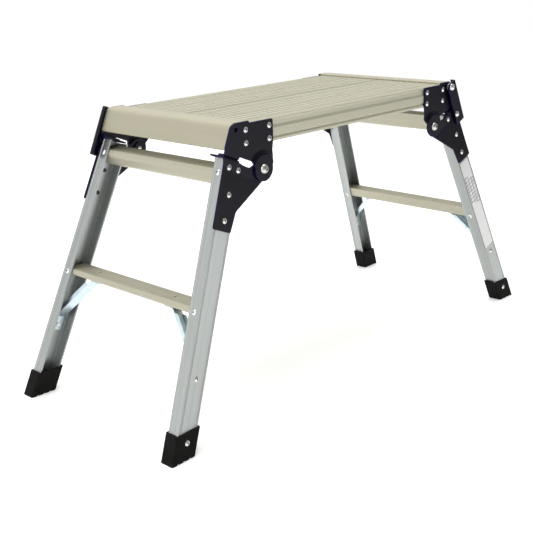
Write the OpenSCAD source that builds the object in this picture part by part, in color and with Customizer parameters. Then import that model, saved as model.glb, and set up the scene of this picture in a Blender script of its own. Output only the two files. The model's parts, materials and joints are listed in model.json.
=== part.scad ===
// Folding work platform bench: a ribbed two-plank deck carried by two folding leg frames.
// X runs along the deck and Y across it; the origin is on the floor under the middle of the deck.

/* [Deck] */
// Height of the rib tops of the deck above the floor
deck_h = 508; // [440:1:620]
// Width of the deck across both planks
deck_w = 320; // [265:1:385]
// Length of the deck over the lower edges of its end noses
deck_len = 670; // [640:1:860]
// Depth of the plank side walls
plank_depth = 40; // [34:1:48]
// Wall thickness of the deck extrusions
deck_wall = 2; // [1.6:0.1:2.6]
// Gap between the two planks
seam_gap = 3; // [1:0.5:4]
// Spacing of the grip ribs
rib_pitch = 4.95; // [4:0.05:6]
// Width of one grip rib
rib_w = 3.2; // [2:0.1:3.5]
// Height of the grip ribs
rib_h = 0.5; // [0.3:0.1:1.2]
// Length of the end noses over the deck, from lip to lower edge
nose_len = 54; // [50:1:66]
// Height of the nose crest above the ribs
nose_rise = 3; // [2.5:0.5:4]
// Width of the cross ties under the planks
tie_w = 40; // [30:1:60]

/* [Hinge] */
// Distance of the hinge axis from the lower edge of the end nose
hinge_inset = 85; // [82:1:94]
// Distance of the hinge axis below the planks
hinge_below = 41; // [38:1:48]
// Diameter of the hinge bolt
bolt_d = 10; // [8:0.5:12]
// Diameter of the hinge bolt head
bolt_head_d = 17; // [15:0.5:20]
// Radius of the hinge lobe on the deck bracket
lobe_r = 21; // [19:0.5:23]
// Thickness of the bracket steel
bracket_t = 3; // [2:0.1:3.6]
// Radial running clearance of the bolts in the moving plates
run_fit = 0.05; // [0.02:0.01:0.1]
// Depth of the inward flange of the deck brackets
deck_flange = 15; // [12:1:20]
// Depth of the inward flange of the leg brackets
leg_flange = 34; // [28:1:40]
// Length of the leg bracket down the rail
leg_bracket_len = 118; // [104:1:140]

/* [Legs] */
// Lean of the legs outward along the deck, in degrees
leg_lean = 22.5; // [18:0.5:26]
// Splay of the rails outward across the deck, in degrees
leg_splay = 5.6; // [4:0.1:8]
// Distance of the rail centre line from the hinge axis
rail_offset = 66.5; // [62:0.5:74]
// Width of the rails
rail_w = 41; // [34:0.5:50]
// Depth of the rail channel
rail_depth = 23; // [19:0.5:30]
// Thickness of the rail web and flanges
rail_t = 2.4; // [1.8:0.1:3]
// Wall thickness of the rubber feet
foot_wall = 3.5; // [2.5:0.5:5]
// Height of the rubber feet
foot_h = 44; // [36:1:60]
// Thickness of the sole of the rubber feet
foot_sole = 6; // [4:0.5:10]

/* [Steps] */
// Height of the middle step above the floor
middle_step_h = 229.5; // [200:0.5:270]
// Drop of the upper step below the planks
upper_step_drop = 28.5; // [27:0.5:36]
// Height of the outer face of the middle step
middle_step_face = 10.5; // [8:0.5:20]
// Height of the straight outer face of the upper step
upper_step_face = 10.5; // [10:0.5:16]
// Inward reach of the rounded toe under that face
upper_toe = 15; // [8:0.5:20]
// Height of the rounded toe
upper_toe_h = 13; // [8:0.5:16]
// Wall thickness of the steps
step_wall = 2; // [1.5:0.1:2.5]
// Width of the braces
brace_w = 20; // [16:1:26]
// Distance of the brace foot under the step from the centre plane
brace_y = 108; // [90:1:120]
// Length down the rail at which the braces meet it
brace_reach = 342; // [325:1:360]

/* [Lock levers] */
// Distance of the lever pivot from the lower edge of the end nose
lever_inset = 27; // [25:0.5:28]
// Drop of the lever pivot below the deck
lever_drop = 8; // [7.5:0.5:11]
// Width of the levers
lever_w = 30; // [28:0.5:34]
// Distance of the lever pivot from the inner edge of the lever
lever_back = 12; // [11:0.5:14]
// Depth of the inward flange along the outer edge of the levers
lever_flange = 12; // [6:0.5:13]
// Length of the levers below their pivot
lever_len = 83; // [78:1:90]
// Lean of the levers, in degrees
lever_lean = 25; // [23:0.5:27]
// Diameter of the lever pivot bolt
lever_bolt_d = 8; // [6:0.5:9]
// Diameter of the catch pin
catch_d = 8; // [6:0.5:9]

/* [Fasteners] */
// Diameter of the rivet shanks
rivet_d = 4.8; // [4:0.1:5.5]
// Diameter of the rivet heads
rivet_head_d = 10; // [8:0.5:11]

/* [Hidden] */
$fn = 64;
half_w = deck_w / 2;
half_len = deck_len / 2;
hinge_x = half_len - hinge_inset;
hinge_z = deck_h - plank_depth - hinge_below;
deck_color = [0.78, 0.76, 0.68];
rail_color = [0.74, 0.75, 0.73];
steel_color = [0.1, 0.1, 0.17];
zinc_color = [0.8, 0.82, 0.84];
rubber_color = [0.07, 0.07, 0.07];
// left-out ribs leave wide grooves, in threes
rib_cycle = 11;
open_ribs = [-3, 0, 3];
web_drop = 24;
foot_tab = 8;
lip_w = 16;
nose_lean = leg_lean;
nose_low = 1.5;
nose_wall = 2.5;
nose_back = 37;
nose_crest_r = 17;
nose_foot_r = 4;
tie_x = hinge_x - 80;
// gap between the stop flanges when the legs stand open
stop_gap = 0.1;
bend_r = bracket_t + 1.5;
// the rail web starts a little inside the deck edge and runs outward
web_y = half_w - 1;
bend_drop = 22;
leg_plate_y = web_y + bend_drop * tan(leg_splay);
washer_t = 0.8;
washer_play = 0.2;
lobe_y = leg_plate_y + bracket_t + washer_t + washer_play;
emboss = lobe_y - half_w;
emboss_r = lobe_r + 10;
emboss_top_r = lobe_r + 2.5;
leg_lobe_r = lobe_r - 3;
bead = 0.8;
rail_clear = rail_w / 2 - bead - rail_t;
rail_top = bracket_t + 0.2;
step_fit = 0.15;
// steps end short of the webs to clear the tails of the bracket rivets
step_end_gap = 4.5;
rail_out = rail_offset + rail_w / 2;
rail_in = rail_offset - rail_w / 2;
lever_x = half_len - lever_inset;
lever_z = deck_h - lever_drop;
lever_t = bracket_t;
lever_gap = 3.7;
lever_y = half_w + bracket_t + lever_gap;
catch_n = rail_out - 7;
catch_drop = 16.5;
catch_play = 0.4;
brace_t = 2;
brace_side = 7;
brace_tab = 26;
rivet_bulb = 3;
washer_d = bolt_d + 14;
collar_d = bolt_d + 12;
collar_t = 3;
// the thin tail of a hinge bolt, peened over its collar
bolt_tail_d = bolt_d * 0.6;
peen_h = 1.5;
long = 2000;

// ---- outlines ----

function unit(v) = v / norm(v);

// points of a fillet of radius r at corner b, between neighbours a and c
function fillet(a, b, c, r, n) =
    r <= 0 ? [b] :
    let (
        u = unit(a - b),
        w = unit(c - b),
        half = acos(u * w) / 2,
        reach = min(r / tan(half), norm(a - b) * 0.48, norm(c - b) * 0.48),
        rr = reach * tan(half),
        mid = b + unit(u + w) * rr / sin(half),
        p = b + u * reach - mid,
        q = b + w * reach - mid,
        start = atan2(p.y, p.x),
        sweep = (atan2(q.y, q.x) - start + 540) % 360 - 180
    )
    [for (k = [0:n]) mid + rr * [cos(start + sweep * k / n), sin(start + sweep * k / n)]];

// twice the area inside corners c, negative when they run clockwise
function turning(c, i = 0) =
    i == len(c) ? 0 :
    let (b = c[i], d = c[(i + 1) % len(c)])
    b.x * d.y - b.y * d.x + turning(c, i + 1);

// the outline through corners [x, y, radius], always anticlockwise
function rounded(c, n = 6) =
    let (w = turning(c) < 0 ? [for (i = [len(c) - 1:-1:0]) c[i]] : c)
    [
        for (i = [0:len(w) - 1])
            let (
                a = w[(i + len(w) - 1) % len(w)],
                b = w[i],
                d = w[(i + 1) % len(w)]
            )
            each fillet([a.x, a.y], [b.x, b.y], [d.x, d.y], b.z, n)
    ];

// place in the X-Z plane of a point n out from the hinge and d down the leg
function leg_pt(n, d) = [
    hinge_x + n * cos(leg_lean) + d * sin(leg_lean),
    hinge_z + n * sin(leg_lean) - d * cos(leg_lean)
];

// distance down the leg, at n, of a horizontal surface at height h
function leg_drop(n, h) = (hinge_z + n * sin(leg_lean) - h) / cos(leg_lean);

// ---- placing ----

// extrudes an X-Z outline across Y, from y to y + t
module across(y, t) translate([0, y + t, 0]) rotate([90, 0, 0]) linear_extrude(t) children();

// turns +Z to +Y
module facing_y() rotate([-90, 0, 0]) children();

// hinge frame: +X out from the hinge, -Z down the leg
module leg_space() translate([hinge_x, 0, hinge_z]) rotate([0, -leg_lean, 0]) children();

// rail frame: Y = 0 is the outer face of the web, -Z runs down the rail
module rail_space() leg_space() translate([rail_offset, web_y, 0]) rotate([leg_splay, 0, 0]) children();

// frame of the bent part of the leg bracket: Y = 0 is its inner face
module bent_space() leg_space() translate([0, leg_plate_y, -bend_drop]) rotate([leg_splay, 0, 0]) children();

module rear_front() for (s = [0, 1]) mirror([0, s, 0]) children();

module right_left() for (s = [0, 1]) mirror([s, 0, 0]) children();

module corners() right_left() rear_front() children();

// the two corners that carry a lever
module lever_corners() for (a = [0, 180]) rotate(a) mirror([0, 1, 0]) children();

// a tube-like corner strip bent inward, its outer faces at Y = 0 and Z = 0
module bent_flange(x0, x1, reach) {
    translate([x0, 0, 0]) rotate([90, 0, 90]) linear_extrude(x1 - x0) {
        translate([-reach, 0]) square([reach - bend_r, bracket_t]);
        intersection() {
            translate([-bend_r, bend_r]) difference() {
                circle(bend_r);
                circle(bend_r - bracket_t);
            }
            translate([-bend_r, 0]) square(bend_r);
        }
    }
}

// ---- fasteners, all with +Z outward and the plate face at Z = 0 ----

module dome(d, h) {
    r = (d * d / 4 + h * h) / (2 * h);
    intersection() {
        translate([0, 0, h - r]) sphere(r);
        cylinder(d = d, h = h);
    }
}

module rivet(grip, bulb = rivet_bulb, flare = 2.4) {
    difference() {
        dome(rivet_head_d, 2.3);
        translate([0, 0, 0.8]) cylinder(d = 3.2, h = 3);
    }
    translate([0, 0, -grip]) cylinder(d = rivet_d, h = grip);
    translate([0, 0, -grip - bulb]) cylinder(d = rivet_d + flare, h = bulb);
}

module rivet_hole() translate([0, 0, -20]) cylinder(d = rivet_d, h = 40);

// places of the four rivets of a deck bracket
deck_rivet_x = [hinge_x + 35.5, hinge_x - 20];
deck_rivet_drop = [11, 33];

module deck_rivet_places() {
    for (x = deck_rivet_x) for (d = deck_rivet_drop)
        translate([x, half_w + bracket_t, deck_h - d]) facing_y() children();
}

// places of the leg bracket rivets: two on its flat top, two on the bent part
flat_rivet_in = rail_in + 9;
flat_rivet_out = rail_out - 10;
flat_rivet_drop = 15.5;
bent_rivet_drop = [58.5, 101.5];

module flat_rivet_place(n)
    leg_space() translate([n, leg_plate_y + bracket_t, -flat_rivet_drop]) facing_y() children();

// the catch pin takes the place of the outer rivet on a latched corner
module flat_rivet_places(latched) {
    flat_rivet_place(flat_rivet_in) children();
    if (!latched) flat_rivet_place(flat_rivet_out) children();
}

module bent_rivet_places() {
    for (d = bent_rivet_drop)
        bent_space() translate([rail_offset, bracket_t, bend_drop - d]) facing_y() children();
}

// places of the step rivets, on the outer faces of both flanges
upper_step_h = deck_h - plank_depth - upper_step_drop;
step_n = [rail_offset - rail_clear + step_fit, rail_offset + rail_clear - step_fit];

function step_rivet_drop(h, face) = leg_drop(step_n[1], h) + min(face / 2, 6);

module step_rivet_places(h, face) {
    rail_space() for (s = [0, 1]) mirror([s, 0, 0])
        translate([rail_w / 2 - bead, -rail_depth / 2, -step_rivet_drop(h, face) / cos(leg_splay)])
            rotate([0, 90, 0]) children();
}

module both_step_rivet_places() {
    step_rivet_places(upper_step_h, upper_step_face) children();
    step_rivet_places(middle_step_h, middle_step_face) children();
}

// brace rivets: one through the rail web, one up into the step
brace_rivet_drop = brace_reach + 16;

module brace_web_place()
    rail_space() translate([0, 0, -brace_rivet_drop / cos(leg_splay)]) facing_y() children();

foot_rivet_drop = (hinge_z + rail_offset * sin(leg_lean) - foot_h * 0.62) / cos(leg_lean);

module foot_rivet_place()
    rail_space() translate([0, foot_wall, -foot_rivet_drop / cos(leg_splay)]) facing_y() children();

// ---- deck ----

function rib_open(k) = max([for (o = open_ribs) (k - o) % rib_cycle == 0 ? 1 : 0]);

// outline of the rear plank, Y across and Z from the rib tops
module plank_outline() {
    skin = -rib_h - deck_wall;
    translate([seam_gap / 2, skin]) square([half_w - seam_gap / 2 - 2, deck_wall]);
    last_rib = floor((half_w - rib_w) / rib_pitch);
    for (k = [1:last_rib]) if (rib_open(k) == 0)
        translate([k * rib_pitch - rib_w / 2, skin]) square([rib_w, rib_h + deck_wall]);
    // side wall: rolled top edge, cove, long bulge, groove and lower bead
    polygon(rounded([
        [half_w - 4, -rib_h, 0],
        [half_w, -rib_h, 1.2],
        [half_w, -rib_h - 3, 1],
        [half_w - 1.8, -rib_h - 5, 1.5],
        [half_w - 1.8, -13, 3],
        [half_w, -17.5, 4],
        [half_w, -plank_depth + 9.5, 2],
        [half_w - 2, -plank_depth + 7.5, 0.5],
        [half_w - 2, -plank_depth + 6.5, 0.5],
        [half_w, -plank_depth + 5, 1.2],
        [half_w, -plank_depth, 1.5],
        [half_w - 4, -plank_depth, 0]
    ], 4));
    translate([half_w - lip_w, -plank_depth]) square([lip_w - 3, deck_wall]);
    // hidden webs with feet for the ties
    for (y = [seam_gap / 2, half_w / 2 - deck_wall / 2])
        translate([y, -web_drop]) square([deck_wall, web_drop - rib_h - deck_wall / 2]);
    translate([seam_gap / 2, -web_drop]) square([foot_tab, deck_wall]);
    translate([half_w / 2 - foot_tab, -web_drop]) square([foot_tab * 2, deck_wall]);
}

plank_end = half_len - nose_back;

module plank() color(deck_color) difference() {
    translate([-plank_end, 0, deck_h]) rotate([90, 0, 90]) linear_extrude(plank_end * 2) plank_outline();
    right_left() deck_rivet_places() rivet_hole();
    for (x = tie_places) tie_rivet_places(x) rivet_hole();
}

module plank_rear() plank();

module plank_front() mirror([0, 1, 0]) plank();

tie_places = [-tie_x, 0, tie_x];
tie_under = deck_h - web_drop - deck_wall;

// rivets through the middle web foot and the tie, heads under the tie
module tie_rivet_places(x) {
    for (dx = [-1, 1])
        translate([x + dx * tie_w / 4, half_w / 2 + foot_tab / 2 + 1, tie_under]) rotate([180, 0, 0]) children();
}

module tie(x) color(rail_color) difference() {
    translate([x, half_w - 4, 0]) rotate([90, 0, 0]) linear_extrude(deck_w - 8) {
        translate([-tie_w / 2, tie_under]) square([tie_w, deck_wall]);
        for (s = [-tie_w / 2, tie_w / 2 - deck_wall])
            translate([s, deck_h - plank_depth + deck_wall]) square([deck_wall, plank_depth - web_drop - deck_wall]);
    }
    rear_front() tie_rivet_places(x) rivet_hole();
}

module tie_left() tie(-tie_x);

module tie_center() tie(0);

module tie_right() tie(tie_x);

module tie_rivets() color(zinc_color)
    for (x = tie_places) rear_front() tie_rivet_places(x) rivet(deck_wall * 2, 2);

// end nose: rounded crest, face parallel to the legs, hollow box with a lip over the planks
function nose_outline(inset) =
    let (
        top = nose_rise - inset,
        low = -plank_depth + nose_low + inset,
        run = (top - low) * tan(nose_lean),
        toe = -inset / cos(nose_lean) - inset * tan(nose_lean)
    )
    rounded([
        [-nose_back + inset, top, 0],
        [toe - run, top, nose_crest_r - inset],
        [toe, low, max(nose_foot_r - inset, 1)],
        [-nose_back + inset, low, 1]
    ], 10);

module end_nose() color(deck_color) difference() {
    translate([half_len, 0, deck_h]) across(-half_w, deck_w) {
        difference() {
            polygon(nose_outline(0));
            polygon(nose_outline(nose_wall));
        }
        // lip over the planks
        polygon(rounded([
            [-nose_back + 1, nose_rise, 0],
            [-nose_len, nose_rise, 1.8],
            [-nose_len, 0, 0],
            [-nose_back + 1, 0, 0]
        ], 4));
    }
}

module end_nose_right() end_nose();

module end_nose_left() mirror([1, 0, 0]) end_nose();

// ---- deck brackets ----

stop_n0 = rail_in + 12;
stop_n1 = rail_out + 6;
flange_relief = 0.4;

// X-Z outline of a deck bracket without its round lobe
module deck_bracket_outline() {
    inner = hinge_x - 28.5;
    low_edge = -bend_r;
    polygon(rounded([
        [half_len - nose_len - 2, deck_h + nose_rise, 0.8],
        [half_len - 30, deck_h + nose_rise, 8],
        concat(leg_pt(stop_n1 + 0.5, -45), 5),
        concat(leg_pt(stop_n1, low_edge), 0),
        concat(leg_pt(stop_n0, low_edge), 0),
        concat(leg_pt(stop_n0, -5.5), 0),
        concat(leg_pt(lobe_r + 7, -5.5), 2),
        [hinge_x + lobe_r - 1, hinge_z + 2, 0],
        [hinge_x, hinge_z, 0],
        [hinge_x - lobe_r + 0.5, hinge_z + 4, 0],
        [inner + 1.5, hinge_z + 17, 3],
        [inner + 2.5, deck_h - plank_depth - 12, 4],
        [inner, deck_h - plank_depth + 3, 3],
        [inner, deck_h - 0.5, 3.5],
        [half_len - nose_len - 4, deck_h - 0.5, 0]
    ], 5));
}

// sheet with a round emboss about the hinge, before it is cut to the bracket's outline
module embossed_sheet() {
    edge = 200;
    thin = bracket_t * 0.45;
    translate([hinge_x, half_w, hinge_z]) facing_y() rotate_extrude() polygon([
        [0, emboss],
        [emboss_top_r - thin, emboss],
        [emboss_r - thin, 0],
        [edge, 0],
        [edge, bracket_t],
        [emboss_r, bracket_t],
        [emboss_top_r, emboss + bracket_t],
        [0, emboss + bracket_t]
    ]);
}

module deck_bracket() color(steel_color) difference() {
    union() {
        intersection() {
            embossed_sheet();
            across(half_w - 1, emboss + bracket_t + 2) {
                deck_bracket_outline();
                translate([hinge_x, hinge_z]) circle(lobe_r);
            }
        }
        leg_space() translate([0, half_w + bracket_t, 0])
            bent_flange(stop_n0 + flange_relief, stop_n1 - flange_relief, deck_flange);
    }
    deck_rivet_places() rivet_hole();
    translate([lever_x, half_w - 1, lever_z]) facing_y() cylinder(d = lever_bolt_d, h = bracket_t + 2);
    translate([hinge_x, half_w, hinge_z]) facing_y() cylinder(d = bolt_d, h = 20);
}

module deck_bracket_rear_right() deck_bracket();

module deck_bracket_rear_left() mirror([1, 0, 0]) deck_bracket();

module deck_bracket_front_right() mirror([0, 1, 0]) deck_bracket();

module deck_bracket_front_left() rotate(180) deck_bracket();

module deck_rivets() color(zinc_color) corners() deck_rivet_places() rivet(bracket_t + 4);

module hinge_bolt() {
    lobe_out = lobe_y + bracket_t;
    shoulder = leg_plate_y - washer_play;
    tail = shoulder - collar_t;
    translate([hinge_x, lobe_out, hinge_z]) facing_y() difference() {
        dome(bolt_head_d, 6);
        translate([0, 0, 3.2]) cylinder(d = 6.5, h = 4, $fn = 6);
    }
    translate([hinge_x, shoulder, hinge_z]) facing_y() cylinder(d = bolt_d, h = lobe_out - shoulder);
    translate([hinge_x, tail, hinge_z]) facing_y() cylinder(d = bolt_tail_d, h = collar_t);
    translate([hinge_x, tail, hinge_z]) rotate([90, 0, 0]) dome(bolt_tail_d + 2.5, peen_h);
}

module hinge_bolts() color(zinc_color) corners() hinge_bolt();

module hinge_collar() {
    translate([hinge_x, leg_plate_y - washer_play - collar_t, hinge_z]) facing_y() difference() {
        cylinder(d = collar_d, h = collar_t);
        translate([0, 0, -1]) cylinder(d = bolt_tail_d, h = collar_t + 2);
    }
}

module hinge_collars() color(steel_color) corners() hinge_collar();

module hinge_washer() {
    translate([hinge_x, lobe_y - washer_t, hinge_z]) facing_y() difference() {
        cylinder(d = washer_d, h = washer_t);
        translate([0, 0, -1]) cylinder(d = bolt_d, h = washer_t + 2);
    }
}

module hinge_washers() color("whitesmoke") corners() hinge_washer();

// ---- leg frames, modelled for the right side ----

// cross-section of a rail: web at Y = 0, flanges inward, beads at both edges of each flange
module rail_outline() {
    half = rail_w / 2;
    side = [
        [half, 0, 1],
        [half, -3.4, 0.4],
        [half - bead, -4.4, 0.4],
        [half - bead, -rail_depth + 4.2, 0.4],
        [half, -rail_depth + 3.2, 0.4],
        [half, -rail_depth, 0.9],
        [rail_clear, -rail_depth, 0.4],
        [rail_clear, -rail_t, 1]
    ];
    mirrored = [for (i = [len(side) - 1:-1:0]) [-side[i].x, side[i].y, side[i].z]];
    difference() {
        polygon(rounded(concat(side, mirrored), 3));
        for (s = [-1, 1]) for (x = [half - 3.2, half - 5.4])
            translate([s * x, 0]) square([0.8, 0.7], center = true);
    }
}

module rail(latched) color(rail_color) difference() {
    rail_space() translate([0, 0, -700]) linear_extrude(720) rail_outline();
    leg_space() translate([-100, -long / 2, -rail_top]) cube([400, long, 200]);
    translate([0, 0, foot_sole - 400]) cube([long, long, 400]);
    flat_rivet_places(latched) rivet_hole();
    bent_rivet_places() rivet_hole();
    both_step_rivet_places() translate([0, 0, -4]) cylinder(d = rivet_d, h = 8);
    brace_web_place() translate([0, 0, -8]) cylinder(d = rivet_d, h = 12);
    foot_rivet_place() translate([0, 0, -9]) cylinder(d = rivet_d, h = 12);
}

// step section in the hinge frame: level top, faces against the flanges, bottom square to the
// leg; below its straight face the toe slopes inward by toe over the height toe_h
function step_section(h, face, toe, toe_h, inset) =
    let (
        n0 = step_n[0] + inset,
        n1 = step_n[1] - inset,
        top = inset / cos(leg_lean),
        bend = leg_drop(step_n[1], h) + face - (toe > 0 ? inset * 0.5 : inset),
        low = leg_drop(step_n[1], h) + face + toe_h - inset,
        corner_r = max(3 - inset, 0.5)
    )
    rounded(concat(
        [
            [n0, -leg_drop(n0, h) - top, 1.2],
            [n1, -leg_drop(n1, h) - top, max(2.5 - inset, 0.5)],
            [n1, -bend, toe > 0 ? 12 : max(4 - inset, 0.5)]
        ],
        toe > 0 ? [[n1 - toe, -low, 9]] : [],
        [[n0, -low, corner_r]]
    ), 6);

step_ribs = 5;

module step(h, face, toe = 0, toe_h = 0) color(deck_color) difference() {
    intersection() {
        leg_space() across(-half_w * 2, deck_w * 2) difference() {
            union() {
                polygon(step_section(h, face, toe, toe_h, 0));
                for (k = [1:step_ribs])
                    let (n = step_n[0] + (step_n[1] - step_n[0]) * k / (step_ribs + 1))
                    translate([n, -leg_drop(n, h)]) rotate(-leg_lean)
                        translate([-1, -0.5]) square([2, 1.1]);
            }
            polygon(step_section(h, face, toe, toe_h, step_wall));
        }
        between_webs();
        mirror([0, 1, 0]) between_webs();
    }
    rear_front() step_rivet_places(h, face) rivet_hole();
    if (h == middle_step_h) rear_front() brace_step_place() rivet_hole();
}

// the half space inside the rear web, short of it by the end gap of the steps
module between_webs()
    rail_space() translate([-200, -900, -700]) cube([400, 900 - rail_t - step_end_gap, 800]);

middle_low = leg_drop(step_n[1], middle_step_h) + middle_step_face;

module brace_step_place()
    leg_space() translate([rail_offset, brace_y - 6, -middle_low - brace_t]) rotate([180, 0, 0]) children();

// a bar between two points of the Y-Z plane, with round ends
module bar(p, q, t) {
    way = q - p;
    translate(p) rotate(atan2(way.y, way.x)) translate([0, -t / 2]) square([norm(way), t]);
    translate(p) circle(d = t);
    translate(q) circle(d = t);
}

// inner face of the web at a distance down the leg
function web_in(drop) = web_y + drop * tan(leg_splay) - rail_t / cos(leg_splay);

module brace() color(zinc_color) {
    low = -middle_low - brace_t / 2;
    tab = [brace_y - 16, low];
    knee = [brace_y + 3, low];
    seat = [web_in(brace_reach) - brace_t / 2 / cos(leg_splay), -brace_reach];
    tail = [web_in(brace_reach + brace_tab) - brace_t / 2 / cos(leg_splay), -brace_reach - brace_tab];
    way = unit(seat - knee);
    up = [-way.y, way.x];
    n0 = rail_offset - brace_w / 2;
    leg_space() difference() {
        union() {
            translate([n0, 0, 0]) rotate([90, 0, 90]) linear_extrude(brace_w) {
                bar(tab, knee, brace_t);
                bar(knee, seat, brace_t);
                bar(seat, tail, brace_t);
            }
            // turned-up sides of the sloping part
            for (x = [n0, n0 + brace_w - 1.6])
                translate([x, 0, 0]) rotate([90, 0, 90]) linear_extrude(1.6) polygon([
                    knee + way * 9,
                    seat - way * 9,
                    seat - way * 16 + up * brace_side,
                    knee + way * 16 + up * brace_side
                ]);
        }
        translate([rail_offset, brace_y - 6, -middle_low - brace_t]) rotate([180, 0, 0]) rivet_hole();
        translate([rail_offset, web_y, 0]) rotate([leg_splay, 0, 0])
            translate([0, 0, -brace_rivet_drop / cos(leg_splay)]) facing_y() rivet_hole();
    }
}

// tangent point on a circle about the hinge, seen from point p
function tangent(p, r, side) =
    let (a = atan2(p.y, p.x) + side * acos(r / norm(p)))
    r * [cos(a), sin(a)];

// outline of a leg bracket in the hinge frame, without its round lobe
module leg_bracket_outline(latched) {
    out = rail_out + 2;
    knee = [rail_in - 2, -leg_bracket_len + 36];
    top = -stop_gap - bend_r;
    difference() {
        polygon(rounded([
            [stop_n1, top, 0],
            [out + 1.5, -12, 6],
            [out, -24, 6],
            [out, -leg_bracket_len, 3],
            [rail_in + 2.5, -leg_bracket_len, 3],
            [knee.x, knee.y, 6],
            concat(tangent(knee, leg_lobe_r, -1), 0),
            [0, 0, 0],
            concat(leg_lobe_r * [cos(40), sin(40)] * 0.9, 0),
            [lobe_r + 8, -5.5, 3],
            [rail_in - 8, -6, 5],
            [stop_n0 - 1, top, 0]
        ], 5));
        if (latched) pin_notch();
    }
}

// open seat for the catch pin in the outer edge
module pin_notch() {
    notch_w = catch_d + 2 * catch_play;
    mouth_w = notch_w + 3;
    translate([catch_n, -catch_drop]) {
        circle(d = notch_w);
        polygon([[0, -notch_w / 2], [20, -mouth_w / 2], [20, mouth_w / 2], [0, notch_w / 2]]);
    }
}

// the plate of a leg bracket before it is cut to its outline: flat above the bend,
// splayed with the rail below it
module bent_plate() {
    reach = 200;
    shift = reach * tan(leg_splay);
    thick = bracket_t / cos(leg_splay);
    leg_space() translate([-60, 0, 0]) rotate([90, 0, 90]) linear_extrude(240) polygon([
        [leg_plate_y, 60],
        [leg_plate_y, -bend_drop],
        [leg_plate_y + shift, -bend_drop - reach],
        [leg_plate_y + shift + thick, -bend_drop - reach],
        [leg_plate_y + bracket_t, -bend_drop + bracket_t * tan(leg_splay / 2)],
        [leg_plate_y + bracket_t, 60]
    ]);
}

module leg_bracket(latched) color(steel_color) difference() {
    union() {
        intersection() {
            bent_plate();
            leg_space() across(leg_plate_y - 5, 60) {
                leg_bracket_outline(latched);
                circle(leg_lobe_r);
            }
        }
        leg_space() translate([0, leg_plate_y + bracket_t, -stop_gap]) mirror([0, 0, 1])
            bent_flange(stop_n0 - 1, stop_n1, leg_flange);
    }
    leg_space() translate([0, leg_plate_y - 5, 0]) facing_y() cylinder(d = bolt_d + 2 * run_fit, h = 20);
    flat_rivet_places(latched) rivet_hole();
    bent_rivet_places() rivet_hole();
}

// rubber foot: a cup over the rail, cut level at its top and base
module foot() color(rubber_color) difference() {
    intersection() {
        rail_space() translate([0, 0, -700]) linear_extrude(400) foot_block(foot_wall, 3.5);
        translate([0, 0, 0]) cube([long, long, foot_h]);
    }
    intersection() {
        rail_space() translate([0, 0, -700]) linear_extrude(500) foot_block(0, 0.9);
        translate([0, 0, foot_sole]) cube([long, long, foot_h]);
    }
    foot_rivet_place() rivet_hole();
    // tread grooves under the sole
    for (k = [-1:1])
        translate([foot_x + k * 13 - 2, 0, -1]) cube([4, long, 2.5]);
}

foot_x = leg_pt(rail_offset, leg_drop(rail_offset, 0)).x;

module foot_block(wall, r) {
    a = rail_w / 2 + wall;
    polygon(rounded([
        [a, wall, r],
        [a, -rail_depth - wall, r],
        [-a, -rail_depth - wall, r],
        [-a, wall, r]
    ], 5));
}

module flat_rivet() rivet(leg_plate_y + bracket_t - web_in(flat_rivet_drop) + 0.5);

// rivets of the latched and the free bracket of one leg frame, latched at the front
module bracket_rivets() color(zinc_color) {
    flat_rivet_places(false) flat_rivet();
    mirror([0, 1, 0]) flat_rivet_places(true) flat_rivet();
    rear_front() bent_rivet_places() rivet(bracket_t + rail_t);
}

module step_rivets() color(zinc_color) rear_front()
    both_step_rivet_places() rivet(rail_t + step_fit + step_wall, 1.5, 0);

module brace_rivets() color(zinc_color) rear_front() {
    brace_web_place() rivet(rail_t + brace_t);
    brace_step_place() rivet(brace_t + step_wall, 2);
}

module foot_rivets() color(zinc_color) rear_front() foot_rivet_place() rivet(foot_wall + rail_t);

label_w = 30;
label_len = 220;
label_drop = leg_bracket_len + 6;
label_t = 0.3;

module label_plate() color("white")
    rail_space() translate([-label_w / 2, 0, -label_drop - label_len]) cube([label_w, label_t, label_len]);

module to_left() mirror([1, 0, 0]) children();

module to_front() mirror([0, 1, 0]) children();

module right_rail_rear() rail(false);

module right_rail_front() to_front() rail(true);

module left_rail_rear() to_left() rail(true);

module left_rail_front() to_left() to_front() rail(false);

module upper_step() step(upper_step_h, upper_step_face, upper_toe, upper_toe_h);

module middle_step() step(middle_step_h, middle_step_face);

module right_upper_step() upper_step();

module left_upper_step() to_left() upper_step();

module right_middle_step() middle_step();

module left_middle_step() to_left() middle_step();

module right_brace_rear() brace();

module right_brace_front() to_front() brace();

module left_brace_rear() to_left() brace();

module left_brace_front() to_left() to_front() brace();

module right_leg_bracket_rear() leg_bracket(false);

module right_leg_bracket_front() to_front() leg_bracket(true);

module left_leg_bracket_rear() to_left() leg_bracket(true);

module left_leg_bracket_front() to_left() to_front() leg_bracket(false);

module right_foot_rear() foot();

module right_foot_front() to_front() foot();

module left_foot_rear() to_left() foot();

module left_foot_front() to_left() to_front() foot();

module right_bracket_rivets() bracket_rivets();

module left_bracket_rivets() to_left() to_front() bracket_rivets();

module right_step_rivets() step_rivets();

module left_step_rivets() to_left() step_rivets();

module right_brace_rivets() brace_rivets();

module left_brace_rivets() to_left() brace_rivets();

module right_foot_rivets() foot_rivets();

module left_foot_rivets() to_left() foot_rivets();

module right_label() to_front() label_plate();

// ---- lock levers, modelled for the rear right corner ----

lever_front = lever_w - lever_back;
lever_top = 9;

module lever_outline() polygon(rounded([
    [-lever_back, lever_top, lever_back - 1],
    [lever_front, lever_top, 6],
    [lever_front, -lever_len, 2.5],
    [-lever_back, -lever_len, 4]
], 10));

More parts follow.
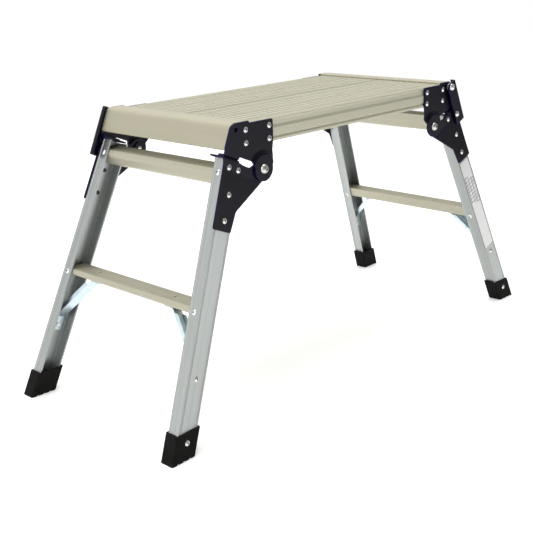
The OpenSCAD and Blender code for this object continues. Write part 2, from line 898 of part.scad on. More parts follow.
// cross-section of a lever, its outer face at Y = 0 and its outer edge bent inward
module lever_profile() polygon(rounded([
    [-lever_back - 1, 0, 0],
    [lever_front, 0, bend_r],
    [lever_front, -lever_flange, 0.8],
    [lever_front - lever_t, -lever_flange, 0.8],
    [lever_front - lever_t, -lever_t, bend_r - bracket_t],
    [-lever_back - 1, -lever_t, 0]
], 5));

module lever_plate() color(steel_color) difference() {
    translate([lever_x, lever_y + lever_t, lever_z]) rotate([0, -lever_lean, 0]) intersection() {
        translate([0, 0, -lever_len - 1]) linear_extrude(lever_len + lever_top + 2) lever_profile();
        across(-lever_flange - 1, lever_flange + 2) lever_outline();
    }
    translate([lever_x, lever_y - 1, lever_z]) facing_y()
        cylinder(d = lever_bolt_d + 2 * run_fit, h = lever_t + 2);
    catch_place(lever_y - 1) facing_y() cylinder(d = catch_d, h = lever_t + 2);
}

module catch_place(y) translate([leg_pt(catch_n, catch_drop).x, y, leg_pt(catch_n, catch_drop).y]) children();

// the pin ends just short of the leg bracket
module catch_pin() color(zinc_color) {
    tip = leg_plate_y + bracket_t + catch_play;
    catch_place(tip) facing_y() cylinder(d = catch_d, h = lever_y + lever_t - tip + 1);
    catch_place(lever_y + lever_t) facing_y() dome(catch_d + 4, 3.5);
}

module lever_bolt() {
    tail = half_w - 11;
    head = lever_y + lever_t + 0.1;
    translate([lever_x, tail, lever_z]) facing_y() cylinder(d = lever_bolt_d, h = head - tail);
    translate([lever_x, head, lever_z]) facing_y() difference() {
        dome(lever_bolt_d + 6.5, 5);
        translate([0, 0, 2.8]) cylinder(d = 5.2, h = 4, $fn = 6);
    }
}

module lever_bolts() color(zinc_color) lever_corners() lever_bolt();

module lever_nut() {
    translate([lever_x, half_w - 7, lever_z]) facing_y() difference() {
        cylinder(d = lever_bolt_d * 1.6, h = 7, $fn = 6);
        translate([0, 0, -1]) cylinder(d = lever_bolt_d, h = 9);
    }
}

module lever_nuts() color(zinc_color) lever_corners() lever_nut();

spacer_d = lever_bolt_d + 7;
spring_wire = 1.5;

module lever_spacer() {
    translate([lever_x, half_w + bracket_t, lever_z]) facing_y() difference() {
        cylinder(d = spacer_d, h = lever_gap - 0.1);
        translate([0, 0, -1]) cylinder(d = lever_bolt_d, h = lever_gap + 2);
    }
}

module lever_spacers() color("whitesmoke") lever_corners() lever_spacer();

// two turns of wire around the spacer
module lever_spring() {
    translate([lever_x, half_w + bracket_t + lever_gap / 2, lever_z]) facing_y() rotate_extrude()
        translate([spacer_d / 2 + spring_wire / 2, 0]) for (s = [-1, 1])
            translate([0, s * spring_wire * 0.48]) circle(d = spring_wire, $fn = 24);
}

module lever_springs() color(zinc_color) lever_corners() lever_spring();

module lever_front_right() to_front() lever_plate();

module catch_pin_front_right() to_front() catch_pin();

module lever_rear_left() to_left() lever_plate();

module catch_pin_rear_left() to_left() catch_pin();

plank_front();
plank_rear();
end_nose_left();
end_nose_right();
tie_left();
tie_center();
tie_right();
tie_rivets();
deck_bracket_front_left();
deck_bracket_front_right();
deck_bracket_rear_left();
deck_bracket_rear_right();
deck_rivets();
hinge_bolts();
hinge_collars();
hinge_washers();
lever_bolts();
lever_nuts();
lever_spacers();
lever_springs();
left_rail_front();
left_rail_rear();
left_upper_step();
left_middle_step();
left_brace_front();
left_brace_rear();
left_leg_bracket_front();
left_leg_bracket_rear();
left_foot_front();
left_foot_rear();
left_bracket_rivets();
left_step_rivets();
left_brace_rivets();
left_foot_rivets();
right_rail_front();
right_rail_rear();
right_upper_step();
right_middle_step();
right_brace_front();
right_brace_rear();
right_leg_bracket_front();
right_leg_bracket_rear();
right_foot_front();
right_foot_rear();
right_bracket_rivets();
right_step_rivets();
right_brace_rivets();
right_foot_rivets();
right_label();
lever_front_right();
catch_pin_front_right();
lever_rear_left();
catch_pin_rear_left();
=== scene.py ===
import json
import math

import bmesh
import bpy
from mathutils import Matrix, Vector


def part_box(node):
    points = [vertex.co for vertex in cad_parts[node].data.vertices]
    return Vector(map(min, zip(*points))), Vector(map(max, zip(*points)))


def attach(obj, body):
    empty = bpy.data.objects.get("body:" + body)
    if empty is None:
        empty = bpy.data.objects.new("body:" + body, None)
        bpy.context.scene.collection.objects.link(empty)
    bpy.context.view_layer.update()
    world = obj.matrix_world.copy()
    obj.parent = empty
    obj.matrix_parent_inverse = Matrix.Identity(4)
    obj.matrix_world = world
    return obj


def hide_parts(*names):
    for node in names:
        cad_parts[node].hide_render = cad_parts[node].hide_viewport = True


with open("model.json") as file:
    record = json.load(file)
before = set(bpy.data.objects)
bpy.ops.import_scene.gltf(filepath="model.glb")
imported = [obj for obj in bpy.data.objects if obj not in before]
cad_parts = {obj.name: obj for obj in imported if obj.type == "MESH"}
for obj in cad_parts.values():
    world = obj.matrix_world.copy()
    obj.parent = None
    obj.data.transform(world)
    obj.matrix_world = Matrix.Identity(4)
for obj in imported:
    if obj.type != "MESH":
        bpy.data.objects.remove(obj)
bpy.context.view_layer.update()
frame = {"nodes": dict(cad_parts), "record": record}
print("frame loaded:", len(frame["nodes"]), "nodes")

cadNodes = frame["nodes"]
bodyOfNode = {
    node: body for body, members in frame["record"]["behaviour"]["bodies"].items() for node in members
}


# material building blocks

def startMaterial(name):
    material = bpy.data.materials.new(name)
    material.use_nodes = True
    tree = material.node_tree
    return material, tree, tree.nodes["Principled BSDF"]


def addNode(tree, kind, **settings):
    node = tree.nodes.new(kind)
    for key, value in settings.items():
        setattr(node, key, value)
    return node


def coordsAlong(tree, along, across, stretch):
    # object coordinates turned so that X runs along the extrusion, then scaled
    along = Vector(along).normalized()
    normal = along.cross(Vector(across)).normalized()
    side = normal.cross(along)
    place = addNode(tree, "ShaderNodeTexCoord")
    turn = addNode(tree, "ShaderNodeMapping")
    turn.inputs["Rotation"].default_value = Matrix((along, side, normal)).to_euler()
    scale = addNode(tree, "ShaderNodeMapping")
    scale.inputs["Scale"].default_value = stretch
    tree.links.new(place.outputs["Object"], turn.inputs["Vector"])
    tree.links.new(turn.outputs["Vector"], scale.inputs["Vector"])
    return scale.outputs["Vector"]


def noiseOn(tree, coords, scale, detail=3.0, roughness=0.5):
    noise = addNode(tree, "ShaderNodeTexNoise")
    noise.inputs["Scale"].default_value = scale
    noise.inputs["Detail"].default_value = detail
    noise.inputs["Roughness"].default_value = roughness
    tree.links.new(coords, noise.inputs["Vector"])
    return noise.outputs["Fac"]


def ramp(tree, value, stops):
    node = addNode(tree, "ShaderNodeValToRGB")
    points = node.color_ramp.elements
    while len(points) < len(stops):
        points.new(0.5)
    for point, (at, color) in zip(points, stops):
        point.position = at
        point.color = (*color, 1)
    tree.links.new(value, node.inputs["Fac"])
    return node.outputs["Color"]


def toRange(tree, value, low, high, fromLow=0.3, fromHigh=0.7):
    node = addNode(tree, "ShaderNodeMapRange")
    node.inputs["From Min"].default_value = fromLow
    node.inputs["From Max"].default_value = fromHigh
    node.inputs["To Min"].default_value = low
    node.inputs["To Max"].default_value = high
    tree.links.new(value, node.inputs["Value"])
    return node.outputs["Result"]


def mixColors(tree, factor, first, second, blend="MIX"):
    node = addNode(tree, "ShaderNodeMix", data_type="RGBA", blend_type=blend)
    for socket, value in ((node.inputs[0], factor), (node.inputs[6], first), (node.inputs[7], second)):
        if isinstance(value, (int, float)):
            socket.default_value = value
        elif isinstance(value, tuple):
            socket.default_value = (*value, 1)
        else:
            tree.links.new(value, socket)
    return node.outputs[2]


def addBump(tree, shader, height, strength, distance, after=None):
    node = addNode(tree, "ShaderNodeBump")
    node.inputs["Strength"].default_value = strength
    node.inputs["Distance"].default_value = distance
    tree.links.new(height, node.inputs["Height"])
    if after:
        tree.links.new(after, node.inputs["Normal"])
    tree.links.new(node.outputs["Normal"], shader.inputs["Normal"])
    return node.outputs["Normal"]


def paintedCavityShade(tree, reach, low, high):
    # painted shade: dark where surfaces face each other closely: grooves, rivet holes, seams
    node = addNode(tree, "ShaderNodeAmbientOcclusion", samples=6, only_local=False)
    node.inputs["Distance"].default_value = reach
    return toRange(tree, node.outputs["AO"], 0.0, 1.0, low, high)


def lighterConvexEdges(tree, reach, low, high):
    node = addNode(tree, "ShaderNodeAmbientOcclusion", samples=6, inside=True, only_local=True)
    node.inputs["Distance"].default_value = reach
    return toRange(tree, node.outputs["AO"], 1.0, 0.0, low, high)


def softEdge(tree, radius):
    node = addNode(tree, "ShaderNodeBevel", samples=4)
    node.inputs["Radius"].default_value = radius
    return node.outputs["Normal"]


drawnGrain = {  # how often the marks repeat per metre along, across and off the surface
    "fine": (2.5, 420, 420),
    "broad": (0.8, 55, 55),
    "blotch": (9, 22, 22),
    "scuff": (30, 700, 700),
    "reliefDepth": 0.0004,
}


def extrudedMetal(name, look, along, across):
    # drawn aluminium: die lines along the extrusion, slow tone drift, scuffs and painted shade in
    # corners
    material, tree, shader = startMaterial(name)
    fine = noiseOn(tree, coordsAlong(tree, along, across, drawnGrain["fine"]), 1.0, 4.0, 0.6)
    broad = noiseOn(tree, coordsAlong(tree, along, across, drawnGrain["broad"]), 1.0, 2.0)
    blotch = noiseOn(tree, coordsAlong(tree, along, across, drawnGrain["blotch"]), 1.0, 3.0)
    scuff = noiseOn(tree, coordsAlong(tree, across, along, drawnGrain["scuff"]), 1.0, 2.0)
    tone = ramp(tree, broad, [(0.3, look["shade"]), (0.7, look["color"])])
    tone = mixColors(tree, toRange(tree, fine, 0.0, look["lineTone"]), tone, look["lineColor"])
    tone = mixColors(tree, toRange(tree, blotch, 0.0, 0.30, 0.45, 0.75), tone, look["stain"])
    # painted shade: near-black colour mixed in where ambient occlusion finds grooves and corners
    shadeMask = paintedCavityShade(tree, look["cavityShadeReach"], 0.15, 0.55)
    tone = mixColors(tree, shadeMask, look["cavityShadeColor"], tone)
    tree.links.new(tone, shader.inputs["Base Color"])
    shader.inputs["Metallic"].default_value = look["metallic"]
    rough = addNode(tree, "ShaderNodeMath", operation="ADD")
    tree.links.new(toRange(tree, fine, *look["roughness"]), rough.inputs[0])
    tree.links.new(toRange(tree, scuff, 0.0, 0.12, 0.55, 0.75), rough.inputs[1])
    tree.links.new(rough.outputs[0], shader.inputs["Roughness"])
    heights = addNode(tree, "ShaderNodeMath", operation="MULTIPLY_ADD")
    tree.links.new(fine, heights.inputs[0])
    heights.inputs[1].default_value = 1.0
    tree.links.new(toRange(tree, scuff, 0.0, 0.5, 0.6, 0.8), heights.inputs[2])
    relief = softEdge(tree, look["edge"])
    addBump(tree, shader, heights.outputs[0], look["bump"], drawnGrain["reliefDepth"], relief)
    return material


def powderCoat(name, look):
    # thick paint over sheet steel: orange peel, dust, and a painted purple highlight along convex
    # edges
    material, tree, shader = startMaterial(name)
    place = addNode(tree, "ShaderNodeTexCoord").outputs["Object"]
    peel = noiseOn(tree, place, look["peelScale"], 2.0)
    cloud = noiseOn(tree, place, look["cloudScale"], 3.0)
    dust = noiseOn(tree, place, look["dustScale"], 4.0, 0.7)
    tone = ramp(tree, cloud, [(0.35, look["color"]), (0.7, look["tint"])])
    tone = mixColors(tree, toRange(tree, dust, 0.0, 0.10, 0.62, 0.80), tone, look["dust"])
    # painted highlight: convex edges lightened towards purple, patchy with the cloud
    edge = addNode(tree, "ShaderNodeMath", operation="MULTIPLY")
    tree.links.new(lighterConvexEdges(tree, look["edgeReach"], 0.25, 0.75), edge.inputs[0])
    tree.links.new(toRange(tree, cloud, 0.25, 0.9, 0.35, 0.65), edge.inputs[1])
    tone = mixColors(tree, edge.outputs[0], tone, look["edgeColor"])
    tree.links.new(tone, shader.inputs["Base Color"])
    tree.links.new(toRange(tree, cloud, *look["roughness"]), shader.inputs["Roughness"])
    shader.inputs["Coat Weight"].default_value = look["coat"]
    shader.inputs["Coat Roughness"].default_value = look["coatRoughness"]
    shader.inputs["Specular IOR Level"].default_value = look["specular"]
    addBump(tree, shader, peel, look["bump"], look["reliefDepth"], softEdge(tree, look["edge"]))
    return material


plateGrain = {"scale": 650, "bump": 0.12, "depth": 0.0002}


def platedSteel(name, look):
    # zinc plate: small spangles, faint tool rings, painted shade in hollows
    material, tree, shader = startMaterial(name)
    place = addNode(tree, "ShaderNodeTexCoord").outputs["Object"]
    cells = addNode(tree, "ShaderNodeTexVoronoi")
    cells.inputs["Scale"].default_value = look["spangle"]
    tree.links.new(place, cells.inputs["Vector"])
    grain = noiseOn(tree, place, plateGrain["scale"], 3.0)
    spangles = toRange(tree, cells.outputs["Distance"], 0.0, 1.0, 0.0, 0.9)
    tone = mixColors(tree, spangles, look["color"], look["tint"])
    tone = mixColors(tree, toRange(tree, grain, 0.0, 0.25), tone, look["shade"])
    # painted shade: near-black colour mixed in where ambient occlusion finds hollows and seams
    shadeMask = paintedCavityShade(tree, look["cavityShadeReach"], *look["hollow"])
    tone = mixColors(tree, shadeMask, look["cavityShadeColor"], tone)
    tree.links.new(tone, shader.inputs["Base Color"])
    shader.inputs["Metallic"].default_value = look["metallic"]
    tree.links.new(toRange(tree, grain, *look["roughness"]), shader.inputs["Roughness"])
    addBump(tree, shader, grain, plateGrain["bump"], plateGrain["depth"], softEdge(tree, look["edge"]))
    return material


def mouldedRubber(name, look):
    material, tree, shader = startMaterial(name)
    place = addNode(tree, "ShaderNodeTexCoord").outputs["Object"]
    grain = noiseOn(tree, place, look["grainScale"], 3.0, 0.65)
    cloud = noiseOn(tree, place, look["cloudScale"], 3.0)
    tone = ramp(tree, cloud, [(0.35, look["color"]), (0.75, look["bloom"])])
    edge = lighterConvexEdges(tree, look["edgeReach"], 0.3, 0.8)
    tone = mixColors(tree, edge, tone, look["edgeColor"])
    tree.links.new(tone, shader.inputs["Base Color"])
    tree.links.new(toRange(tree, grain, *look["roughness"]), shader.inputs["Roughness"])
    shader.inputs["Specular IOR Level"].default_value = look["specular"]
    addBump(tree, shader, grain, look["bump"], look["reliefDepth"], softEdge(tree, look["edge"]))
    return material


# camera, lights and floor

cameraLook = {
    "position": (-1.3697, -1.2469, 0.7563),
    "yaw": 43.998,  # degrees from +X towards +Y
    "pitch": -17.833,
    "roll": -1.78,
    "lens": 64.10,
    "sensor": 36.0,
}


def placeCamera(look):
    yaw, pitch, roll = (math.radians(look[k]) for k in ("yaw", "pitch", "roll"))
    ahead = Vector((math.cos(pitch) * math.cos(yaw), math.cos(pitch) * math.sin(yaw), math.sin(pitch)))
    level = Vector((math.sin(yaw), -math.cos(yaw), 0))
    upright = level.cross(ahead)
    right = math.cos(roll) * level + math.sin(roll) * upright
    up = -math.sin(roll) * level + math.cos(roll) * upright
    camData = bpy.data.cameras.new("camera")
    camData.lens = look["lens"]
    camData.sensor_width = look["sensor"]
    camera = bpy.data.objects.new("camera", camData)
    turn = Matrix((right, up, -ahead)).transposed().to_4x4()
    turn.translation = Vector(look["position"])
    camera.matrix_world = turn
    bpy.context.scene.collection.objects.link(camera)
    bpy.context.scene.camera = camera


placeCamera(cameraLook)

studio = {
    "skyColor": (1.0, 1.0, 1.0),
    "skyFront": (-0.4, 0.40, 0.28, 1.0),  # how far towards -Y and +Y, and the strengths there
    "skyLeft": (-0.25, -0.9, 0.0, 0.12),  # added towards -X
    "floorColor": (0.97, 0.97, 0.97),
    "floorGlow": 0.30,
    "floorRadius": 2.6,
    "floorSides": 96,
    "floorGap": 0.0005,
    "floorRoughness": 0.9,
    "lamps": [  # name, place, aim, width, height, watts, colour
        ("keySoftbox", (-2.9, -0.9, 1.7), (0, 0, 0.35), 1.6, 1.2, 20, (1.0, 0.98, 0.93)),
        ("lowLeft", (-2.2, -0.1, 0.35), (-0.3, 0, 0.3), 1.4, 0.5, 3, (0.9, 0.96, 1.0)),
        ("topLight", (0.2, 0.3, 3.2), (0, 0, 0.4), 2.6, 2.6, 74, (1.0, 0.99, 0.95)),
        ("railGlow", (0.9, -1.9, 0.25), (0.1, -0.1, 0.25), 0.8, 0.5, 3, (1.0, 1.0, 1.0)),
    ],
}


def buildStudio(look):
    scene = bpy.context.scene
    scene.view_settings.view_transform = "Standard"
    world = bpy.data.worlds.new("studioSky")
    world.use_nodes = True
    sky = world.node_tree.nodes["Background"]
    sky.inputs["Color"].default_value = (*look["skyColor"], 1)
    tree = world.node_tree
    way = addNode(tree, "ShaderNodeSeparateXYZ")
    tree.links.new(addNode(tree, "ShaderNodeTexCoord").outputs["Generated"], way.inputs[0])
    total = addNode(tree, "ShaderNodeMath", operation="ADD")
    for socket, axis, span in ((0, "Y", look["skyFront"]), (1, "X", look["skyLeft"])):
        start, end, low, high = span
        tree.links.new(toRange(tree, way.outputs[axis], low, high, start, end), total.inputs[socket])
    tree.links.new(total.outputs[0], sky.inputs["Strength"])
    scene.world = world
    for name, place, aim, width, height, watts, color in look["lamps"]:
        lamp = bpy.data.lights.new(name, "AREA")
        lamp.shape = "RECTANGLE"
        lamp.size, lamp.size_y = width, height
        lamp.energy = watts
        lamp.color = color
        holder = bpy.data.objects.new(name, lamp)
        holder.location = place
        holder.rotation_euler = (Vector(place) - Vector(aim)).to_track_quat("Z", "Y").to_euler()
        scene.collection.objects.link(holder)
    mesh = bpy.data.meshes.new("floor")
    ring = bmesh.new()
    bmesh.ops.create_circle(
        ring, cap_ends=True, segments=look["floorSides"], radius=look["floorRadius"]
    )
    ring.to_mesh(mesh)
    ring.free()
    floor = bpy.data.objects.new("floor", mesh)
    floor.location = (0, 0, -look["floorGap"])
    scene.collection.objects.link(floor)
    paint = bpy.data.materials.new("floorPaint")
    paint.use_nodes = True
    shader = paint.node_tree.nodes["Principled BSDF"]
    shader.inputs["Base Color"].default_value = (*look["floorColor"], 1)
    shader.inputs["Roughness"].default_value = look["floorRoughness"]
    shader.inputs["Emission Color"].default_value = (*look["skyColor"], 1)
    shader.inputs["Emission Strength"].default_value = look["floorGlow"]
    mesh.materials.append(paint)


buildStudio(studio)
print("camera, lights and floor ready")


# finishes

aluminium = {
    "deck": {
        "color": (0.52, 0.505, 0.395),
        "shade": (0.485, 0.475, 0.37),
        "lineColor": (0.60, 0.585, 0.48),
        "lineTone": 0.22,
        "stain": (0.49, 0.46, 0.375),
        "cavityShadeColor": (0.05, 0.05, 0.04),
        "cavityShadeReach": 0.004,
        "metallic": 0.45,
        "roughness": (0.44, 0.60),
        "bump": 0.20,
        "edge": 0.0006,
    },
    "nose": {
        "color": (0.41, 0.39, 0.29),
        "shade": (0.38, 0.36, 0.27),
        "lineColor": (0.48, 0.46, 0.36),
        "lineTone": 0.22,
        "stain": (0.46, 0.43, 0.35),
        "cavityShadeColor": (0.05, 0.05, 0.04),
        "cavityShadeReach": 0.004,
        "metallic": 0.45,
        "roughness": (0.44, 0.60),
        "bump": 0.20,
        "edge": 0.0006,
    },
    "step": {
        "color": (0.445, 0.43, 0.335),
        "shade": (0.40, 0.385, 0.30),
        "lineColor": (0.55, 0.53, 0.43),
        "lineTone": 0.25,
        "stain": (0.48, 0.45, 0.38),
        "cavityShadeColor": (0.05, 0.05, 0.04),
        "cavityShadeReach": 0.004,
        "metallic": 0.5,
        "roughness": (0.40, 0.55),
        "bump": 0.20,
        "edge": 0.0006,
    },
    "rail": {
        "color": (0.385, 0.40, 0.385),
        "shade": (0.31, 0.325, 0.315),
        "lineColor": (0.55, 0.60, 0.64),
        "lineTone": 0.35,
        "stain": (0.38, 0.385, 0.33),
        "cavityShadeColor": (0.05, 0.05, 0.05),
        "cavityShadeReach": 0.004,
        "metallic": 0.75,
        "roughness": (0.28, 0.42),
        "bump": 0.22,
        "edge": 0.0006,
    },
}

navyCoat = {
    "color": (0.0022, 0.0022, 0.0048),
    "tint": (0.0032, 0.0026, 0.0110),
    "dust": (0.03, 0.03, 0.04),
    # purple painted highlight along convex edges
    "edgeColor": (0.045, 0.022, 0.24),
    "roughness": (0.34, 0.46),
    "peelScale": 900,
    "cloudScale": 28,
    "dustScale": 240,
    "edgeReach": 0.0022,
    "coat": 0.04,
    "coatRoughness": 0.22,
    "specular": 0.12,
    "bump": 0.10,
    "reliefDepth": 0.0003,
    "edge": 0.0012,
}

zinc = {
    "fastener": {
        "color": (0.78, 0.78, 0.76), "tint": (0.70, 0.72, 0.74), "shade": (0.55, 0.55, 0.53),
        "spangle": 300, "cavityShadeColor": (0.01, 0.01, 0.012), "cavityShadeReach": 0.0030, "hollow": (0.30, 0.62),
        "metallic": 1.0, "roughness": (0.18, 0.34), "edge": 0.0003,
    },
    "hingeBolt": {
        "color": (0.68, 0.67, 0.64), "tint": (0.58, 0.57, 0.54), "shade": (0.38, 0.37, 0.35),
        "spangle": 260, "cavityShadeColor": (0.02, 0.018, 0.015), "cavityShadeReach": 0.0030, "hollow": (0.30, 0.62),
        "metallic": 1.0, "roughness": (0.22, 0.38), "edge": 0.0004,
    },
    "brace": {
        "color": (0.86, 0.91, 0.94), "tint": (0.56, 0.74, 0.84), "shade": (0.46, 0.54, 0.60),
        "spangle": 120, "cavityShadeColor": (0.03, 0.035, 0.05), "cavityShadeReach": 0.004, "hollow": (0.25, 0.75),
        "metallic": 1.0, "roughness": (0.24, 0.42), "edge": 0.0005,
    },
    "springWire": {
        "color": (0.46, 0.46, 0.47), "tint": (0.36, 0.36, 0.38), "shade": (0.20, 0.20, 0.21),
        "spangle": 500, "cavityShadeColor": (0.02, 0.02, 0.02), "cavityShadeReach": 0.002, "hollow": (0.25, 0.75),
        "metallic": 1.0, "roughness": (0.25, 0.40), "edge": 0.0002,
    },
    # near-black stems: painted shade inside the rivet holes
    "mandrelHoleShade": {
        "color": (0.030, 0.030, 0.034), "tint": (0.045, 0.045, 0.05), "shade": (0.015, 0.015, 0.018),
        "spangle": 700, "cavityShadeColor": (0.006, 0.006, 0.007), "cavityShadeReach": 0.002, "hollow": (0.25, 0.75),
        "metallic": 0.6, "roughness": (0.45, 0.60), "edge": 0.0002,
    },
}

footRubber = {
    "color": (0.0050, 0.0050, 0.0047),
    "bloom": (0.0085, 0.0085, 0.0080),
    "edgeColor": (0.020, 0.020, 0.019),
    "roughness": (0.66, 0.82),
    "grainScale": 1100,
    "cloudScale": 45,
    "edgeReach": 0.003,
    "specular": 0.08,
    "bump": 0.25,
    "reliefDepth": 0.0003,
    "edge": 0.0015,
}

nylon = {"color": (0.72, 0.72, 0.69), "shade": 0.82, "roughness": 0.5, "subsurface": 0.1}

labelFilm = {
    "base": (0.76, 0.76, 0.76),
    "panel": (0.60, 0.605, 0.62),
    "line": (0.10, 0.10, 0.10),
    "roughness": 0.32,
    "lineWidth": 0.0006,
    "cellLength": 0.0085,
    "cellWidth": 0.0090,
    "grid": (0.52, 0.80),  # where the ruled part starts and ends, from the foot of the film up
    "gridFade": 0.001,
    "coat": 0.3,
}


def nylonMaterial(look):
    material, tree, shader = startMaterial("naturalNylon")
    place = addNode(tree, "ShaderNodeTexCoord").outputs["Object"]
    cloud = noiseOn(tree, place, 300, 3.0)
    shade = tuple(look["shade"] * c for c in look["color"])
    tone = mixColors(tree, toRange(tree, cloud, 0.0, 0.5), look["color"], shade)
    tree.links.new(tone, shader.inputs["Base Color"])
    shader.inputs["Roughness"].default_value = look["roughness"]
    shader.inputs["Subsurface Weight"].default_value = look["subsurface"]
    addBump(tree, shader, cloud, 0.1, 0.0002)
    return material


legSlope = {"lean": 22.5, "splay": 5.6}  # degrees off plumb, lengthways and crossways


def railDirection(side, depth):
    # way down a rail: side is +1 at the +X end, depth +1 on the +Y side
    lean, splay = math.radians(legSlope["lean"]), math.radians(legSlope["splay"])
    down = Matrix.Rotation(-lean, 3, "Y") @ Vector((0, math.sin(splay), -math.cos(splay)))
    return Vector((side * down.x, depth * down.y, down.z))


deckMetal = extrudedMetal("deckAluminium", aluminium["deck"], (1, 0, 0), (0, 1, 0))
noseMetal = extrudedMetal("noseAluminium", aluminium["nose"], (0, 1, 0), (0, 0, 1))
stepMetal = extrudedMetal("stepAluminium", aluminium["step"], (0, 1, 0), (0, 0, 1))
railMetal = {}
for side, sideName in ((1, "right"), (-1, "left")):
    for depth, depthName in ((1, "rear"), (-1, "front")):
        down = railDirection(side, depth)
        railMetal[sideName, depthName] = extrudedMetal(
            "railAluminium_" + sideName + "_" + depthName, aluminium["rail"], down, (0, 1, 0)
        )
coatMetal = powderCoat("navyPowderCoat", navyCoat)
fastenerMetal = platedSteel("zincFasteners", zinc["fastener"])
hingeBoltMetal = platedSteel("passivatedBolts", zinc["hingeBolt"])
braceMetal = platedSteel("zincBraces", zinc["brace"])
springMetal = platedSteel("springWire", zinc["springWire"])
mandrelShadeMetal = platedSteel("rivetHoleShade", zinc["mandrelHoleShade"])
rubber = mouldedRubber("footRubber", footRubber)
nylonPlastic = nylonMaterial(nylon)


def labelMaterial(look):
    # blank film with a plain ruled panel, no lettering
    material, tree, shader = startMaterial("labelFilm")
    down = railDirection(1, -1)
    coords = coordsAlong(tree, down, (1, 0, 0), (1, 1, 1))
    split = addNode(tree, "ShaderNodeSeparateXYZ")
    tree.links.new(coords, split.inputs[0])
    bricks = addNode(tree, "ShaderNodeTexBrick", offset=0.0)
    bricks.inputs["Scale"].default_value = 1.0
    bricks.inputs["Mortar Size"].default_value = look["lineWidth"]
    bricks.inputs["Brick Width"].default_value = look["cellLength"]
    bricks.inputs["Row Height"].default_value = look["cellWidth"]
    bricks.inputs["Color1"].default_value = (*look["base"], 1)
    bricks.inputs["Color2"].default_value = (*look["panel"], 1)
    bricks.inputs["Mortar"].default_value = (*look["line"], 1)
    tree.links.new(coords, bricks.inputs["Vector"])
    cloud = noiseOn(tree, coords, 90, 3.0)
    plain = mixColors(tree, toRange(tree, cloud, 0.0, 0.3), look["base"], look["panel"])
    low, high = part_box("right_label")
    height = addNode(tree, "ShaderNodeTexCoord").outputs["Object"]
    heightSplit = addNode(tree, "ShaderNodeSeparateXYZ")
    tree.links.new(height, heightSplit.inputs[0])
    span = high.z - low.z
    start, end = (low.z + part * span for part in look["grid"])
    inGrid = addNode(tree, "ShaderNodeMath", operation="MULTIPLY")
    for socket, edge, below, above in ((0, start, 0.0, 1.0), (1, end, 1.0, 0.0)):
        fade = toRange(tree, heightSplit.outputs["Z"], below, above, edge, edge + look["gridFade"])
        tree.links.new(fade, inGrid.inputs[socket])
    tone = mixColors(tree, inGrid.outputs[0], plain, bricks.outputs["Color"])
    tree.links.new(tone, shader.inputs["Base Color"])
    shader.inputs["Roughness"].default_value = look["roughness"]
    shader.inputs["Coat Weight"].default_value = look["coat"]
    return material


labelPaper = labelMaterial(labelFilm)
print("materials ready")


def dress(node, material):
    cad = cadNodes[node]
    cad.data.materials.clear()
    cad.data.materials.append(material)


def materialFor(node):
    if "rail_" in node:
        sideName, depthName = node.split("_")[0], node.split("_")[-1]
        return railMetal[sideName, depthName]
    for word, material in (
        ("hinge_bolts", hingeBoltMetal),
        ("collars", coatMetal),
        ("rivets", fastenerMetal),
        ("bolts", fastenerMetal),
        ("nuts", fastenerMetal),
        ("catch_pin", fastenerMetal),
        ("springs", springMetal),
        ("washers", nylonPlastic),
        ("spacers", nylonPlastic),
        ("brace_", braceMetal),
        ("bracket", coatMetal),
        ("lever_", coatMetal),
        ("foot_", rubber),
        ("label", labelPaper),
        ("step", stepMetal),
        ("nose", noseMetal),
        ("tie", noseMetal),
    ):
        if word in node:
            return material
    return deckMetal


for node in cadNodes:
    dress(node, materialFor(node))
print("CAD nodes dressed")


# rivet mandrels: the broken stems that sit in the hollow heads, coloured near black as painted shade
# inside the rivet holes

mandrels = {
    "radius": 0.00158,
    "seat": 0.0016,  # how far the stems start below the crown of a head
    "rise": 0.0009,
    "crown": 0.00016,
    "sink": 0.0003,
    "tailRadius": 0.0037,
    "tailSkin": 0.00015,
    "tailLength": 0.0029,
    "sides": 14,
    "weld": 1e-6,
}


def islandsOf(mesh):
    # vertex groups of each loose part
    links = {v.index: [] for v in mesh.vertices}
    for edge in mesh.edges:
        a, b = edge.vertices
        links[a].append(b)
        links[b].append(a)
    left = set(links)
    while left:
        seed = left.pop()
        group, stack = [seed], [seed]
        while stack:
            for other in links[stack.pop()]:
                if other in left:
                    left.remove(other)
                    group.append(other)
                    stack.append(other)
        yield [mesh.vertices[i].co.copy() for i in group]


def weldedCopy(mesh, reach):
    # CAD meshes split their vertices at sharp edges: join them to find whole rivets
    work = bmesh.new()
    work.from_mesh(mesh)
    bmesh.ops.remove_doubles(work, verts=work.verts, dist=reach)
    joined = bpy.data.meshes.new("joined")
    work.to_mesh(joined)
    work.free()
    return joined


def rivetHeads(node):
    # crown, blind end and outward axis of each rivet
    joined = weldedCopy(cadNodes[node].data, mandrels["weld"])
    heads = []
    for points in islandsOf(joined):
        center = sum(points, Vector()) / len(points)
        axis = principalAxis(points, center)
        reach = [(p - center).dot(axis) for p in points]
        girth = [((p - center) - axis * r).length for p, r in zip(points, reach)]
        if reach[girth.index(max(girth))] < 0:
            axis = -axis
            reach = [-r for r in reach]
        heads.append((center + axis * max(reach), center + axis * min(reach), axis))
    bpy.data.meshes.remove(joined)
    return heads


def principalAxis(points, center):
    # power iteration on the spread of the points about their longest direction
    spread = Matrix(((0, 0, 0), (0, 0, 0), (0, 0, 0)))
    for p in points:
        d = p - center
        for i in range(3):
            for j in range(3):
                spread[i][j] += d[i] * d[j]
    axis = Vector((0.3, 0.9, 0.2))
    for _ in range(60):
        axis = (spread @ axis).normalized()
    return axis


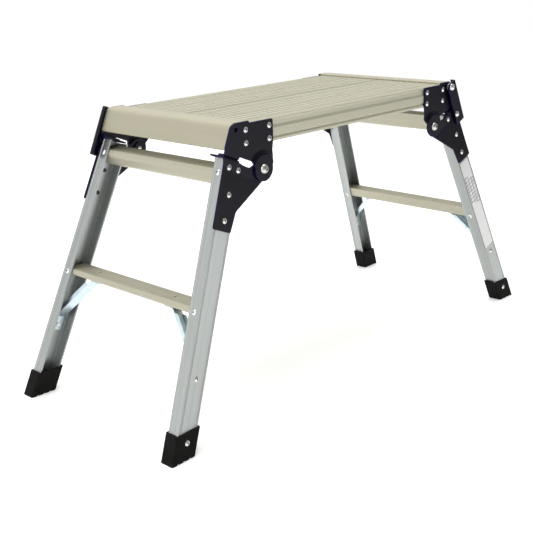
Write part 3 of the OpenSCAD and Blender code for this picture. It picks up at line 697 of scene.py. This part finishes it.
def addPlug(work, turn, rings, sides):
    # a closed turned shape: rings are (radius, height) from its foot up
    loops = []
    for radius, height in rings:
        angles = (k * math.tau / sides for k in range(sides))
        points = (Vector((radius * math.cos(a), radius * math.sin(a), height)) for a in angles)
        loops.append([work.verts.new(turn @ p) for p in points])
    for low, high in zip(loops, loops[1:]):
        for k in range(sides):
            work.faces.new((low[k], low[(k + 1) % sides], high[(k + 1) % sides], high[k]))
    work.faces.new(loops[-1])
    work.faces.new(list(reversed(loops[0])))


def buildMandrels(name, node, look):
    work = bmesh.new()
    for top, tail, axis in rivetHeads(node):
        turn = axis.to_track_quat("Z", "Y").to_matrix().to_4x4()
        turn.translation = top - axis * look["seat"]
        addPlug(work, turn, [
            (look["radius"], -look["sink"]),
            (look["radius"], look["rise"] * 0.6),
            (look["radius"] * 0.7, look["rise"]),
            (look["radius"] * 0.25, look["rise"] + look["crown"]),
        ], look["sides"])
        if "bracket_rivets" in node:
            # blind ends inside the rails, in the same near-black painted-shade colour as the stems
            turn.translation = tail
            addPlug(work, turn, [
                (look["tailRadius"] * 0.8, -look["tailSkin"]),
                (look["tailRadius"], 0),
                (look["tailRadius"], look["tailLength"]),
            ], look["sides"])
    mesh = bpy.data.meshes.new(name)
    bmesh.ops.recalc_face_normals(work, faces=work.faces)
    work.to_mesh(mesh)
    work.free()
    for face in mesh.polygons:
        face.use_smooth = True
    piece = bpy.data.objects.new(name, mesh)
    bpy.context.scene.collection.objects.link(piece)
    mesh.materials.append(mandrelShadeMetal)
    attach(piece, bodyOfNode[node])


for node in cadNodes:
    if node.endswith("rivets"):
        buildMandrels(node.replace("rivets", "mandrels"), node, mandrels)
print("rivet mandrels made")


# lever return springs: real coils in place of the plain rings

leverSpring = {
    "wire": 0.0014,
    "turns": 2.3,
    "steps": 28,  # points per turn
    "sides": 8,
    "inset": 0.55,  # wire diameters kept inside the space of the plain rings
}


def tubeAlong(work, path, radius, sides):
    # a round tube through the points of path
    frames = []
    normal = None
    for i, p in enumerate(path):
        ahead = (path[min(i + 1, len(path) - 1)] - path[max(i - 1, 0)]).normalized()
        if normal is None:
            normal = ahead.orthogonal().normalized()
        normal = (normal - ahead * normal.dot(ahead)).normalized()
        frames.append((p, normal.copy(), ahead.cross(normal)))
    loops = []
    for p, u, v in frames:
        loops.append([
            work.verts.new(
                p + radius * (math.cos(k * math.tau / sides) * u + math.sin(k * math.tau / sides) * v)
            )
            for k in range(sides)
        ])
    for a, b in zip(loops, loops[1:]):
        for k in range(sides):
            work.faces.new((a[k], a[(k + 1) % sides], b[(k + 1) % sides], b[k]))
    work.faces.new(list(reversed(loops[0])))
    work.faces.new(loops[-1])


def buildLeverSprings(look):
    joined = weldedCopy(cadNodes["lever_springs"].data, mandrels["weld"])
    work = bmesh.new()
    for points in islandsOf(joined):
        low = Vector([min(p[i] for p in points) for i in range(3)])
        high = Vector([max(p[i] for p in points) for i in range(3)])
        center = (low + high) / 2
        radius = (high.x - low.x) / 2 - look["wire"] * look["inset"]
        room = (high.y - low.y) - 2 * look["wire"] * look["inset"]
        path = []
        count = int(look["turns"] * look["steps"])
        for k in range(count + 1):
            angle = math.tau * k / look["steps"]
            path.append(center + Vector((
                radius * math.cos(angle), (k / count - 0.5) * room, radius * math.sin(angle)
            )))
        tubeAlong(work, path, look["wire"] / 2, look["sides"])
    bpy.data.meshes.remove(joined)
    mesh = bpy.data.meshes.new("lever_spring_coils")
    bmesh.ops.recalc_face_normals(work, faces=work.faces)
    work.to_mesh(mesh)
    work.free()
    for face in mesh.polygons:
        face.use_smooth = True
    mesh.materials.append(springMetal)
    piece = bpy.data.objects.new("lever_spring_coils", mesh)
    bpy.context.scene.collection.objects.link(piece)
    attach(piece, "deck")
    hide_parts("lever_springs")


buildLeverSprings(leverSpring)
print("lever springs coiled")
